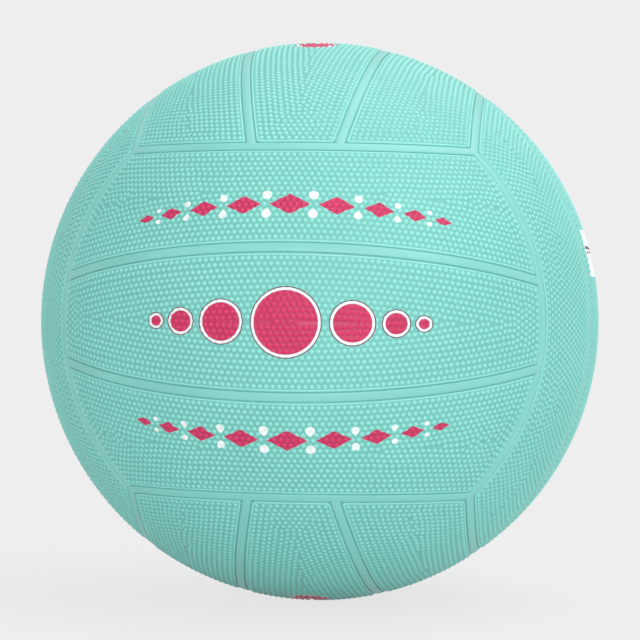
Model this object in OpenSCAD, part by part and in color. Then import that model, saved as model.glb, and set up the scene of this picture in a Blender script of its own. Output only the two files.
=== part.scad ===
// Netball of eighteen moulded rubber panels on a wound carcass, with a needle valve.
// Millimetres. The origin is the ball's centre, +Z is up, and the valve looks along +Y.
// The six faces each hold three strips, and every face's strips lie across its neighbours'.

/* [Ball] */
// Girth round the ball's middle, over the pebbles
girth = 700; // [660:1:715]
// Height of the pebbled field above a panel's smooth rim
pebble_h = 0.4; // [0.2:0.05:0.7]
// Angle from the middle of a face to each of its two inner seams
strip_angle = 14; // [11:0.5:17]

/* [Cover panels] */
// Thickness of a panel at its smooth rim
panel_t = 0.9; // [0.7:0.05:1.6]
// Width of the smooth rim between a panel's edge and its pebbled field
rim_w = 1; // [0.5:0.1:3]

/* [Seams] */
// Width of the smooth rib that runs between two panels
rib_w = 3.3; // [2:0.1:6]
// Depth of the rib's top below the tops of the pebbles
rib_sink = 0.25; // [0:0.05:0.6]
// Width of the groove between the rib and a panel's edge
groove_w = 0.45; // [0.3:0.05:1]

/* [Inner layers] */
// Thickness of the rubber carcass between its ribs
carcass_t = 0.5; // [0.3:0.05:1]
// Thickness of the layer of wound thread
winding_t = 0.35; // [0.2:0.05:0.8]
// Thickness of the bladder
bladder_t = 0.6; // [0.4:0.05:1.2]
// Thickness of the cement that bonds each layer to the next, left as a clear space
bond_t = 0.1; // [0.05:0.05:0.2]

/* [Valve housing] */
// Radius of the housing's neck
neck_r = 5; // [4.8:0.1:7]
// Length of the housing from its outer end to its inner end
housing_l = 19; // [18:0.5:26]
// Depth of the housing's outer end below the tops of the pebbles
valve_sink = 0.3; // [0.2:0.05:0.6]
// Space round the neck where it passes through the layers
neck_gap = 0.25; // [0.1:0.05:0.5]
// Radius of the flange that is bonded inside the bladder
flange_r = 14; // [9:0.5:20]
// Thickness of the flange
flange_t = 0.9; // [0.5:0.1:2]
// Radius of the air hole through the housing's inner end
air_hole_r = 1.5; // [0.8:0.1:2.2]
// Width of the smooth ring round the valve's opening in the panel
valve_rim_w = 3.2; // [1.5:0.1:6]

/* [Valve plug] */
// Radius of the plug's shank
shank_r = 3; // [2.6:0.05:3.2]
// Length of the plug's shank under its head
shank_l = 14; // [11:0.5:14.5]
// Radius of the plug's head
head_r = 3.9; // [3.5:0.1:4.2]
// Thickness of the plug's head
head_t = 1.2; // [0.8:0.1:1.8]
// Space between the plug and the housing on every side
plug_fit = 0.05; // [0.02:0.01:0.1]
// Length of the bevel at the plug's inner end
nose_l = 1; // [0.4:0.1:1.5]
// Width of that bevel
nose_w = 0.7; // [0.3:0.1:1]
// Radius of the hole for an inflating needle
needle_r = 1; // [0.8:0.05:1.2]
// Length of the straight part of the needle hole
needle_l = 9; // [6:0.5:9.5]
// Radius of the funnel that leads into the needle hole
funnel_r = 1.9; // [1.4:0.1:2.4]
// Depth of that funnel
funnel_l = 0.8; // [0.4:0.1:1.2]

/* [Hidden] */
// Half the angle of a cone whose rim circle meets its neighbours' at the eight corners
face_angle = acos(1 / sqrt(3));
// Places of a face's three strips across it
ROWS = [1, 0, -1];
FACES = ["front", "bottom", "left", "back", "top", "right"];
ROW_NAMES = [["upper", "middle", "lower"], ["right", "middle", "left"], ["rear", "middle", "front"]];
PANELS = [for (face = [0:len(FACES) - 1]) for (row = ROWS) [face, row]];
valve_panel = "back_middle_panel";

// Radii of the layers, from the tops of the pebbles inwards
ball_r = girth / (2 * PI);
rim_r = ball_r - pebble_h;
panel_in_r = rim_r - panel_t;
rib_r = ball_r - rib_sink;
carcass_r = panel_in_r - bond_t;
carcass_in_r = carcass_r - carcass_t;
winding_r = carcass_in_r - bond_t;
winding_in_r = winding_r - winding_t;
bladder_r = winding_in_r - bond_t;
bladder_in_r = bladder_r - bladder_t;
flange_out_r = bladder_in_r - bond_t;

// Margins kept from a seam's middle line
rib_margin = rib_w / 2;
panel_margin = rib_margin + groove_w;
field_margin = panel_margin + rim_w;

// Heights along the valve's axis, measured from the ball's centre
valve_top = ball_r - valve_sink;
seat_top = valve_top - head_t - plug_fit;
plug_end = valve_top - head_t - shank_l;
pocket_end = plug_end - plug_fit;
housing_end = valve_top - housing_l;
opening_r = neck_r + neck_gap;

// Cutters run past what they cut, and the largest ones enclose the ball
overrun = 2;
reach = 2 * ball_r;

$fn = 180;
RUBBER = [0.541, 0.847, 0.8];
THREAD = [0.9, 0.88, 0.82];
BLACK_RUBBER = [0.12, 0.12, 0.13];
PLUG_RUBBER = [0.2, 0.2, 0.22];

function panel_name(panel) = str(FACES[panel[0]], "_", ROW_NAMES[panel[0] % 3][1 - panel[1]], "_panel");

// Angle at the ball's centre under an arc of a given length on its surface
function arc_angle(arc) = arc / ball_r * 180 / PI;

module ball_layer(outer_r, inner_r) {
    difference() {
        sphere(r = outer_r);
        sphere(r = inner_r);
    }
}

// A cone from the ball's centre up along +Z
module core_cone(half_angle) {
    cylinder(h = reach, r1 = 0, r2 = reach * tan(half_angle));
}

// Turns the front face's space onto another face
module on_face(face) {
    rotate(a = 120 * (face % 3), v = [1, 1, 1])
        rotate([0, 0, face < 3 ? 0 : 180])
            children();
}

// The front face's space above its upper inner seam
module above_seam(margin) {
    rotate([-strip_angle, 0, 0])
        translate([-reach, -reach, margin])
            cube([2 * reach, 2 * reach, 2 * reach]);
}

// The front face's space below its upper inner seam
module below_seam(margin) {
    rotate([-strip_angle, 0, 0])
        translate([-reach, -reach, -2 * reach])
            cube([2 * reach, 2 * reach, 2 * reach - margin]);
}

// Everything inside the front face's two curved ends
module face_cone(margin) {
    rotate([90, 0, 0])
        core_cone(face_angle - arc_angle(margin));
}

// The space of one strip of the front face, kept back from its seams by a margin
module strip_space(row, margin) {
    if (row == 0)
        intersection() {
            face_cone(margin);
            below_seam(margin);
            mirror([0, 0, 1])
                below_seam(margin);
        }
    else
        mirror([0, 0, row < 0 ? 1 : 0])
            difference() {
                intersection() {
                    face_cone(margin);
                    above_seam(margin);
                }
                core_cone(face_angle + arc_angle(margin));
            }
}

module along_valve() {
    rotate([-90, 0, 0])
        children();
}

// A straight hole through the wall at the valve
module valve_opening(radius) {
    along_valve()
        cylinder(h = reach, r = radius);
}

// A panel is a smooth plate that carries a raised field for its pebbles
module cover_panel(panel) {
    has_valve = panel_name(panel) == valve_panel;
    color(RUBBER)
        union() {
            difference() {
                intersection() {
                    ball_layer(rim_r, panel_in_r);
                    on_face(panel[0])
                        strip_space(panel[1], panel_margin);
                }
                if (has_valve)
                    valve_opening(opening_r);
            }
            difference() {
                intersection() {
                    ball_layer(ball_r, (rim_r + panel_in_r) / 2);
                    on_face(panel[0])
                        strip_space(panel[1], field_margin);
                }
                if (has_valve)
                    valve_opening(opening_r + valve_rim_w);
            }
        }
}

// The carcass is one skin whose ribs stand up in the seams between the panels
module carcass() {
    color(RUBBER)
        difference() {
            sphere(r = rib_r);
            sphere(r = carcass_in_r);
            for (panel = PANELS)
                intersection() {
                    ball_layer(rib_r + overrun, carcass_r);
                    on_face(panel[0])
                        strip_space(panel[1], rib_margin);
                }
            valve_opening(opening_r);
        }
}

module winding() {
    color(THREAD)
        difference() {
            ball_layer(winding_r, winding_in_r);
            valve_opening(opening_r);
        }
}

module bladder() {
    color(BLACK_RUBBER)
        difference() {
            ball_layer(bladder_r, bladder_in_r);
            valve_opening(opening_r);
        }
}

// The housing is a tube with a flange, and its pocket takes the plug
module valve_housing() {
    color(BLACK_RUBBER)
        difference() {
            union() {
                intersection() {
                    ball_layer(flange_out_r, flange_out_r - flange_t);
                    valve_opening(flange_r);
                }
                along_valve()
                    translate([0, 0, housing_end])
                        cylinder(h = housing_l, r = neck_r);
            }
            along_valve() {
                translate([0, 0, seat_top])
                    cylinder(h = valve_top - seat_top + overrun, r = head_r + plug_fit);
                translate([0, 0, pocket_end])
                    cylinder(h = valve_top - pocket_end, r = shank_r + plug_fit);
                translate([0, 0, housing_end - overrun])
                    cylinder(h = valve_top - housing_end, r = air_hole_r);
            }
        }
}

// The plug closes the valve, and a needle goes through it to let air in or out
module valve_plug() {
    color(PLUG_RUBBER)
        along_valve()
            difference() {
                union() {
                    translate([0, 0, valve_top - head_t])
                        cylinder(h = head_t, r = head_r);
                    translate([0, 0, plug_end + nose_l])
                        cylinder(h = valve_top - plug_end - nose_l, r = shank_r);
                    translate([0, 0, plug_end])
                        cylinder(h = nose_l, r1 = shank_r - nose_w, r2 = shank_r);
                }
                translate([0, 0, valve_top - funnel_l])
                    cylinder(h = funnel_l, r1 = needle_r, r2 = funnel_r);
                translate([0, 0, valve_top - funnel_l - needle_l])
                    cylinder(h = needle_l + funnel_l / 2, r = needle_r);
            }
}

for (panel = PANELS)
    cover_panel(panel);
carcass();
winding();
bladder();
valve_housing();
valve_plug();
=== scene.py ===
"""Dresses the netball: pebbled panels, seam ribs, inner layers and needle valve.

Lengths are metres. The ball's centre is the origin, +Z is up and the valve looks along +Y.
Every panel is moulded once as it lies in the front face, then turned to its own face.
"""

import logging
import math
from collections.abc import Callable, Sequence
from dataclasses import dataclass, field, replace
from enum import Enum
from functools import partial
from typing import Any

import bmesh
import bpy
import numpy as np
from bpy.types import Material, Mesh, Node, NodeSocket, NodeTree, Object
from mathutils import Matrix, Quaternion, Vector, geometry, kdtree


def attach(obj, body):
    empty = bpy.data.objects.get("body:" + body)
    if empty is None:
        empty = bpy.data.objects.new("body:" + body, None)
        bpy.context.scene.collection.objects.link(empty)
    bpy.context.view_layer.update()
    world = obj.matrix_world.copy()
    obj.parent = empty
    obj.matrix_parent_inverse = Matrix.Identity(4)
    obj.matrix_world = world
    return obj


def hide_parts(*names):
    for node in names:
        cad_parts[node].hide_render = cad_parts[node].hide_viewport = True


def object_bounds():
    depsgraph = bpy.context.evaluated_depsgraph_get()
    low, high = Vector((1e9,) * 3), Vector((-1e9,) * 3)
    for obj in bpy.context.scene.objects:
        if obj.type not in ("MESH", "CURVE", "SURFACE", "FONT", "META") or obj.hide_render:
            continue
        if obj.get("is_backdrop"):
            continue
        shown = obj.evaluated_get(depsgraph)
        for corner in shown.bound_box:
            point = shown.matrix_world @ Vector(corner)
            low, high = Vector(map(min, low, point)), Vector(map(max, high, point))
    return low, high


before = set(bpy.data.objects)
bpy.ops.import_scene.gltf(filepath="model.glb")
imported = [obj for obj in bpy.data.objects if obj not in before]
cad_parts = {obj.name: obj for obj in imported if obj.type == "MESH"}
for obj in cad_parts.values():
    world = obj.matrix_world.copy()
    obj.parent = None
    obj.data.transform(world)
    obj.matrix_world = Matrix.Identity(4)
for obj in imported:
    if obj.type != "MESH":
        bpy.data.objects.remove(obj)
cad_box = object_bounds()

log = logging.getLogger("netball")

MM = 0.001
# Half the angle of a cone whose rim circle meets its neighbours' at the eight corners
FACE_ANGLE = math.acos(1 / math.sqrt(3))
THIRD_TURN = math.radians(120)
# Distance under which points of a mesh are one, and the same for a flat chart of a ball of radius one
TOUCH = 0.0005 * MM
CHART_TOUCH = 1e-7
# Difference up to which two whole numbers in a tree are the same
SAME = 0.5
# Steps of a hollow ball from the valve's opening to the far side, and round it
SHELL_STEPS = 60
SHELL_SEGMENTS = 96
VALVE_SEGMENTS = 72
# Straight pieces in each rounded corner of a profile
ROUNDING_STEPS = 4
# Bends above which an edge stays sharp
TURNED_CREASE = math.radians(35)
CARCASS_CREASE = math.radians(50)
PANEL_CREASE = math.radians(60)
BALL_BODY = "ball"
PLUG_BODY = "plug"
STRIP_NAMES = (("upper", "middle", "lower"), ("right", "middle", "left"), ("rear", "middle", "front"))
# Names of the attributes that a panel's mesh carries
PEBBLE_SHARE = "pebble_share"
FIELD_SHARE = "field_share"
VALLEY_SHADE = "valley"
INK = "ink"

Point = tuple[float, float]
Inputs = dict[str | int, Any] | Sequence[Any]


class Face(Enum):
    """Faces in the order in which turns about the ball's long diagonal reach them."""

    FRONT = 0
    BOTTOM = 1
    LEFT = 2
    BACK = 3
    TOP = 4
    RIGHT = 5

    @property
    def strips(self) -> tuple[str, str, str]:
        """Names of the face's three strips, in the order of Strip."""
        return STRIP_NAMES[self.value % 3]

    @property
    def turn(self) -> Quaternion:
        """Turn that takes the front face to this one."""
        half = Quaternion((0, 0, 1), math.pi if self.value >= 3 else 0)
        return Quaternion((1, 1, 1), THIRD_TURN * (self.value % 3)) @ half


class Strip(Enum):
    """Places of a face's three strips across it."""

    OUTER = 0
    MIDDLE = 1
    MIRRORED = 2


class Ink(Enum):
    """What a panel's surface shows at a point."""

    RUBBER = 0
    MAIN = 1
    LINE = 2
    EDGE = 3

    @property
    def label(self) -> str:
        """Name of the input that takes its material."""
        return self.name.title()


class Print(Enum):
    """Printed designs that a panel may carry."""

    PLAIN = "plain"
    LONG_BEADS = "long_beads"
    SHORT_BEADS = "short_beads"
    SPLIT_BEADS = "split_beads"
    LABEL = "label"
    LOZENGES = "lozenges"


@dataclass(frozen=True)
class BallSizes:
    """Sizes that the ball's pieces share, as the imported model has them."""

    girth: float = 700 * MM
    pebble_height: float = 0.4 * MM
    strip_angle: float = math.radians(14)
    panel_thickness: float = 0.9 * MM
    rib_width: float = 3.3 * MM
    rib_sink: float = 0.25 * MM
    groove_width: float = 0.45 * MM
    carcass_thickness: float = 0.5 * MM
    winding_thickness: float = 0.35 * MM
    bladder_thickness: float = 0.6 * MM
    bond: float = 0.1 * MM
    opening_radius: float = 5.25 * MM
    valve_rim_width: float = 3.2 * MM

    @property
    def ball_radius(self) -> float:
        """Radius over the tops of the pebbles."""
        return self.girth / math.tau

    @property
    def rim_radius(self) -> float:
        """Radius of a panel's smooth rim."""
        return self.ball_radius - self.pebble_height

    @property
    def panel_inner_radius(self) -> float:
        """Radius of a panel's inner face."""
        return self.rim_radius - self.panel_thickness

    @property
    def rib_radius(self) -> float:
        """Radius of the tops of the seam ribs."""
        return self.ball_radius - self.rib_sink

    @property
    def carcass_radius(self) -> float:
        """Outer radius of the carcass between its ribs."""
        return self.panel_inner_radius - self.bond

    @property
    def winding_radius(self) -> float:
        """Outer radius of the wound thread."""
        return self.carcass_radius - self.carcass_thickness - self.bond

    @property
    def bladder_radius(self) -> float:
        """Outer radius of the bladder."""
        return self.winding_radius - self.winding_thickness - self.bond

    @property
    def panel_margin(self) -> float:
        """Distance from a seam's middle line to the edge of a panel."""
        return self.rib_width / 2 + self.groove_width

    @property
    def valve_field_radius(self) -> float:
        """Radius of the smooth ring round the valve's opening."""
        return self.opening_radius + self.valve_rim_width


def unit(points: np.ndarray) -> np.ndarray:
    """Scales each row of an array to length one."""
    return points / np.linalg.norm(points, axis=-1, keepdims=True)


def turns(count: int) -> np.ndarray:
    """Angles of even steps round a full turn."""
    return np.arange(count) * math.tau / count


def nearest_tree(points: np.ndarray) -> kdtree.KDTree:
    """Builds a tree that finds the points nearest to a place.

    Args:
        points: The points, one per row.

    Returns:
        The tree, which knows each point by its row.
    """
    tree = kdtree.KDTree(len(points))
    for i, point in enumerate(points):
        tree.insert(point, i)
    tree.balance()
    return tree


def linear(code: str) -> tuple[float, float, float, float]:
    """Turns an sRGB hex colour into the linear values that shaders take.

    Args:
        code: Colour as "#RRGGBB".

    Returns:
        Red, green, blue and an alpha of one.
    """
    parts = [int(code[i : i + 2], 16) / 255 for i in (1, 3, 5)]
    red, green, blue = (c / 12.92 if c <= 0.04045 else ((c + 0.055) / 1.055) ** 2.4 for c in parts)
    return red, green, blue, 1.0


def fill(node: Node, inputs: Inputs) -> Node:
    """Sets or links inputs of a node.

    Args:
        node: Node of a shader or geometry tree.
        inputs: Values in the order of the inputs, or by their name or number. A value may be an
            output socket, or a node that stands for its first output.

    Returns:
        The same node.
    """
    for key, value in (inputs if isinstance(inputs, dict) else dict(enumerate(inputs))).items():
        source = value.outputs[0] if isinstance(value, Node) else value
        if isinstance(source, NodeSocket):
            node.id_data.links.new(source, node.inputs[key])
        else:
            node.inputs[key].default_value = source
    return node


def add_node(tree: NodeTree, kind: str, inputs: Inputs = (), **settings: Any) -> Node:
    """Adds a node, sets its properties, and fills its inputs.

    Args:
        tree: Shader or geometry node tree that gets the node.
        kind: Blender's type name of the node.
        inputs: What goes into it, as fill takes it.
        **settings: Properties of the node.

    Returns:
        The new node.
    """
    node = tree.nodes.new(kind)
    for name, value in settings.items():
        setattr(node, name, value)
    return fill(node, inputs)


def new_material(name: str) -> tuple[Material, Callable[..., Node], Node]:
    """Starts a material.

    Args:
        name: Name of the material.

    Returns:
        The material, add_node for its tree, and its shader.
    """
    made = bpy.data.materials.new(name)
    made.use_nodes = True
    return made, partial(add_node, made.node_tree), made.node_tree.nodes["Principled BSDF"]


def new_object(name: str, data: Any) -> Object:
    """Puts a mesh, light or camera in the scene.

    Args:
        name: Name of the object.
        data: The mesh, light or camera.

    Returns:
        The object, at the origin.
    """
    item = bpy.data.objects.new(name, data)
    bpy.context.scene.collection.objects.link(item)
    return item


def settle_piece(piece: Object, node: str, slot: str, body: str = BALL_BODY) -> Object:
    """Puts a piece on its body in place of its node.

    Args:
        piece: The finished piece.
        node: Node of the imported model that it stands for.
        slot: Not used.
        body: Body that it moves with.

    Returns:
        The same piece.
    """
    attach(piece, body)
    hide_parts(node)
    return piece


def closed_mesh(name: str, points: np.ndarray, faces: Sequence[Sequence[int]]) -> Mesh:
    """Makes a mesh of one closed surface and turns its faces outwards.

    Args:
        name: Name of the mesh.
        points: Vertices, one per row.
        faces: Vertex indices of each face, all wound the same way.

    Returns:
        The mesh, with doubled vertices merged.
    """
    mesh = bpy.data.meshes.new(name)
    mesh.from_pydata(points, [], faces)
    work = bmesh.new()
    work.from_mesh(mesh)
    bmesh.ops.remove_doubles(work, verts=work.verts, dist=TOUCH)
    bmesh.ops.dissolve_degenerate(work, edges=work.edges, dist=TOUCH)
    if work.calc_volume(signed=True) < 0:
        bmesh.ops.reverse_faces(work, faces=work.faces)
    work.to_mesh(mesh)
    work.free()
    return mesh


def joined_mesh(name: str, parts: Sequence[Mesh]) -> Mesh:
    """Joins closed meshes of one finish into one mesh.

    Args:
        name: Name of the new mesh.
        parts: The meshes.

    Returns:
        The new mesh.
    """
    work = bmesh.new()
    for part in parts:
        work.from_mesh(part)
    mesh = bpy.data.meshes.new(name)
    work.to_mesh(mesh)
    work.free()
    return mesh


def lathe(name: str, profile: Sequence[Point], segments: int) -> Mesh:
    """Turns a closed profile about the valve's axis.

    Args:
        name: Name of the mesh.
        profile: Corners as distance from the axis and height along it.
        segments: Number of steps round the axis.

    Returns:
        The turned mesh.
    """
    angles = turns(segments)
    ring = np.stack([np.cos(angles), np.zeros(segments), np.sin(angles)], axis=1)
    points = np.concatenate([ring * radius + (0, height, 0) for radius, height in profile])
    faces = []
    for i, (radius, _) in enumerate(profile):
        j = (i + 1) % len(profile)
        if radius == profile[j][0] == 0:
            continue
        for a in range(segments):
            b = (a + 1) % segments
            faces.append((i * segments + a, i * segments + b, j * segments + b, j * segments + a))
    mesh = closed_mesh(name, points, faces)
    mesh.shade_smooth()
    mesh.set_sharp_from_angle(angle=TURNED_CREASE)
    return mesh


def rounded(corners: Sequence[tuple[float, float, float]]) -> list[Point]:
    """Rounds the corners of a closed profile.

    Args:
        corners: Corners as distance from the axis, height along it and radius of the rounding.

    Returns:
        The rounded profile.
    """
    profile = []
    for i, (x, y, radius) in enumerate(corners):
        if radius <= 0:
            profile.append((x, y))
            continue
        here = np.array((x, y))
        before = unit(np.array(corners[i - 1][:2]) - here)
        after = unit(np.array(corners[(i + 1) % len(corners)][:2]) - here)
        half = math.acos(float(np.clip(before @ after, -1, 1))) / 2
        centre = here + unit(before + after) * radius / math.sin(half)
        start = here + before * radius / math.tan(half) - centre
        end = here + after * radius / math.tan(half) - centre
        span = math.atan2(start[0] * end[1] - start[1] * end[0], float(start @ end))
        for k in range(ROUNDING_STEPS + 1):
            c, s = math.cos(span * k / ROUNDING_STEPS), math.sin(span * k / ROUNDING_STEPS)
            across = centre[0] + c * start[0] - s * start[1]
            profile.append((across, centre[1] + s * start[0] + c * start[1]))
    return profile


def shell_profile(outer: float, inner: float, opening: float) -> list[Point]:
    """Gives the profile of a hollow ball with a hole for the valve.

    Args:
        outer: Outer radius.
        inner: Inner radius.
        opening: Radius of the hole.

    Returns:
        Distances from the axis and heights along it.
    """
    profile = []
    for radius, order in ((outer, range(SHELL_STEPS + 1)), (inner, range(SHELL_STEPS, -1, -1))):
        first = math.asin(opening / radius)
        for k in order:
            angle = first + (math.pi - first) * k / SHELL_STEPS
            distance = 0.0 if k == SHELL_STEPS else radius * math.sin(angle)
            profile.append((distance, radius * math.cos(angle)))
    return profile


class NodeRecipe:
    """A geometry node tree with named inputs, used as a modifier and then made a plain mesh."""

    def __init__(self, name: str, kinds: dict[str, str]) -> None:
        """Starts a tree.

        Args:
            name: Name of the tree.
            kinds: Kind of each named input, such as Float.
        """
        self.tree = bpy.data.node_groups.new(name, "GeometryNodeTree")
        face = self.tree.interface
        self.keys = {
            label: face.new_socket(label, in_out="INPUT", socket_type=f"NodeSocket{kind}").identifier
            for label, kind in {"Geometry": "Geometry", **kinds}.items()
        }
        face.new_socket("Geometry", in_out="OUTPUT", socket_type="NodeSocketGeometry")
        self.add = partial(add_node, self.tree)
        self.given = self.add("NodeGroupInput").outputs

    def end(self, result: Node, finishes: dict[str, Node | bool]) -> None:
        """Makes the result real geometry and gives it its finishes.

        Args:
            result: Node that gives the geometry.
            finishes: Faces that take each material input, True for all of them.
        """
        result = self.add("GeometryNodeRealizeInstances", [result])
        for label, faces in finishes.items():
            result = self.add("GeometryNodeSetMaterial", [result, faces, self.given[label]])
        self.add("NodeGroupOutput", [result])

    def make(self, name: str, base: Mesh, values: dict[str, Any]) -> Object:
        """Runs the tree on a mesh.

        Args:
            name: Name of the new object.
            base: Mesh that the tree starts from.
            values: Value of each named input.

        Returns:
            An object with the result as its own plain mesh.
        """
        item = new_object(name, base)
        modifier = item.modifiers.new(self.tree.name, "NODES")
        modifier.node_group = self.tree
        for label, value in values.items():
            modifier[self.keys[label]] = value
        graph = bpy.context.evaluated_depsgraph_get()
        result = bpy.data.meshes.new_from_object(item.evaluated_get(graph), depsgraph=graph)
        item.modifiers.clear()
        # Set Material leaves the slot of the faces that had none empty
        for slot in reversed(range(len(result.materials))):
            if result.materials[slot] is None:
                result.materials.pop(index=slot)
        result.name = name
        item.data = result
        return item


@dataclass(frozen=True)
class RubberFinish:
    """A moulded rubber surface, or ink that was screen printed on one.

    Attributes:
        name: Name of the material.
        colour: sRGB hex of the surface.
        drift: sRGB hex towards which the colour drifts in broad patches.
        drift_size: Size of those patches.
        roughness: Middle of the roughness.
        grain_size: Spacing of the fine grain.
        grain_depth: Depth of that grain.
        valley: sRGB hex of the painted shade at the feet of the pebbles.
        valley_share: How much of it shows there.
        valley_start: Share of a pebble's radius from which it shows.
        drift_band: Values of the broad noise between which the colour drifts.
        gloss_spread: How far the grain takes the roughness up and down.
        refraction: Index of refraction.
    """

    name: str
    colour: str
    drift: str
    drift_size: float
    roughness: float
    grain_size: float
    grain_depth: float
    valley: str = "#57A69C"
    valley_share: float = 0.0
    valley_start: float = 0.55
    drift_band: tuple[float, float] = (0.35, 0.7)
    gloss_spread: float = 0.06
    refraction: float = 1.52

    def material(self) -> Material:
        """Builds the material.

        Returns:
            A material that reads object coordinates, and the pebbles' own attribute for painted shade at
            their feet.
        """
        made, add, shader = new_material(self.name)
        place = add("ShaderNodeTexCoord").outputs["Object"]
        broad = add("ShaderNodeTexNoise", {"Vector": place, "Scale": 1 / self.drift_size, "Detail": 3.0})
        patches = add("ShaderNodeMapRange", [broad, *self.drift_band])
        colours = {0: patches, 6: linear(self.colour), 7: linear(self.drift)}
        body = add("ShaderNodeMix", colours, data_type="RGBA").outputs[2]
        # Painted shade: towards the feet of the pebbles the colour turns to a darker one
        share = add("ShaderNodeAttribute", attribute_name=VALLEY_SHADE).outputs["Fac"]
        foot = add(
            "ShaderNodeMapRange", {"Value": share, "From Min": self.valley_start, "To Max": self.valley_share}
        )
        with_painted_shade = add("ShaderNodeMix", {0: foot, 6: body, 7: linear(self.valley)}, data_type="RGBA").outputs[2]
        grain = add("ShaderNodeTexNoise", {"Vector": place, "Scale": 1 / self.grain_size, "Detail": 2.0})
        least, most = self.roughness - self.gloss_spread, self.roughness + self.gloss_spread
        gloss = add("ShaderNodeMapRange", {"Value": grain, "To Min": least, "To Max": most})
        bump = add("ShaderNodeBump", {"Strength": 1.0, "Distance": self.grain_depth, "Height": grain})
        fill(shader, {"Base Color": with_painted_shade, "Roughness": gloss, "Normal": bump, "IOR": self.refraction})
        return made


@dataclass(frozen=True)
class ThreadFinish:
    """Nylon thread, wound all ways and wetted with rubber cement.

    Attributes:
        name: Name of the material.
        colour: sRGB hex of the thread.
        cement: sRGB hex of the cement between the strands.
        strand: Width of a strand.
        roughness: Roughness of the fibre.
        sheen: Sheen of the fibre.
        waver: How far the strands waver.
        depth: Depth of the grooves between them.
        ways: Turns that give the directions in which the strands cross.
    """

    name: str
    colour: str
    cement: str
    strand: float
    roughness: float
    sheen: float = 0.25
    waver: float = 1.5
    depth: float = 0.05 * MM
    ways: tuple[tuple[float, float, float], ...] = ((0.3, 0.9, 0.2), (1.1, 0.2, 1.4), (0.7, 2.1, 0.6))

    def material(self) -> Material:
        """Builds the material.

        Returns:
            A material whose strands cross in three directions of the object's space.
        """
        made, add, shader = new_material(self.name)
        place = add("ShaderNodeTexCoord").outputs["Object"]
        # At a scale of one, a wave texture's bands are a tenth of pi apart
        scale = math.pi / 10 / self.strand
        strands = 0.0
        for way in self.ways:
            turned = add("ShaderNodeMapping", {"Vector": place, "Rotation": way})
            wave = add("ShaderNodeTexWave", {"Vector": turned, "Scale": scale, "Distortion": self.waver})
            strands = add("ShaderNodeMath", [strands, wave.outputs["Fac"]], operation="MAXIMUM")
        colours = {0: strands, 6: linear(self.cement), 7: linear(self.colour)}
        tone = add("ShaderNodeMix", colours, data_type="RGBA").outputs[2]
        bump = add("ShaderNodeBump", {"Strength": 1.0, "Distance": self.depth, "Height": strands})
        fill(
            shader,
            {"Base Color": tone, "Normal": bump, "Roughness": self.roughness, "Sheen Weight": self.sheen},
        )
        return made


# Natural rubber pressed in a blasted steel mould, so it is satin with a fine grain
PANEL_RUBBER = RubberFinish(
    name="moulded_aqua_rubber",
    colour="#8BDAD1",
    drift="#85D4CB",
    drift_size=35 * MM,
    roughness=0.45,
    grain_size=0.45 * MM,
    grain_depth=0.012 * MM,
    # Painted shade darkens the floor between the pebbles
    valley_share=0.65,
)
# The ribs come from a polished part of the mould, so they are smoother than the panels
RIB_RUBBER = RubberFinish(
    name="polished_aqua_rubber",
    colour="#7FCAC1",
    drift="#7AC4BB",
    drift_size=30 * MM,
    roughness=0.42,
    grain_size=0.7 * MM,
    grain_depth=0.006 * MM,
)
# Screen ink is dense and flexible; at the feet of the pebbles its colour turns darker, which is painted shade
MAIN_INK = RubberFinish(
    name="screen_printed_magenta_ink",
    colour="#D1205F",
    drift="#C91E5A",
    drift_size=12 * MM,
    roughness=0.4,
    grain_size=0.5 * MM,
    grain_depth=0.008 * MM,
    valley="#A51A4B",
    valley_share=0.5,
)
LINE_INK = replace(
    MAIN_INK, name="screen_printed_white_ink", colour="#EEF1F2", drift="#E9EDEE", valley="#D3E2E1"
)
EDGE_INK = replace(
    MAIN_INK,
    name="screen_printed_plum_ink",
    colour="#5E2B4A",
    drift="#592846",
    valley="#4C2F44",
    valley_share=0.4,
)
# Carbon black rubber from a smooth mould, with a faint bloom of wax
VALVE_RUBBER = RubberFinish(
    name="moulded_black_rubber",
    colour="#1D1D1F",
    drift="#252528",
    drift_size=4 * MM,
    roughness=0.5,
    grain_size=0.3 * MM,
    grain_depth=0.01 * MM,
)
PLUG_RUBBER = replace(
    VALVE_RUBBER,
    name="moulded_grey_rubber",
    colour="#34343A",
    drift="#3B3B42",
    drift_size=3 * MM,
    roughness=0.45,
)
# Butyl sheet, dusted with talc so that it doesn't stick to the winding
BLADDER_RUBBER = RubberFinish(
    name="talc_dusted_butyl_rubber",
    colour="#2A2A2C",
    drift="#4A4A4C",
    drift_size=18 * MM,
    roughness=0.62,
    grain_size=0.8 * MM,
    grain_depth=0.02 * MM,
)
# Drawn nylon is pale and has a soft sheen, and the cement dries darker between the strands
WOUND_NYLON = ThreadFinish(
    name="wound_nylon_thread", colour="#ECE8DC", cement="#B9AE92", strand=0.5 * MM, roughness=0.55
)


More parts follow.
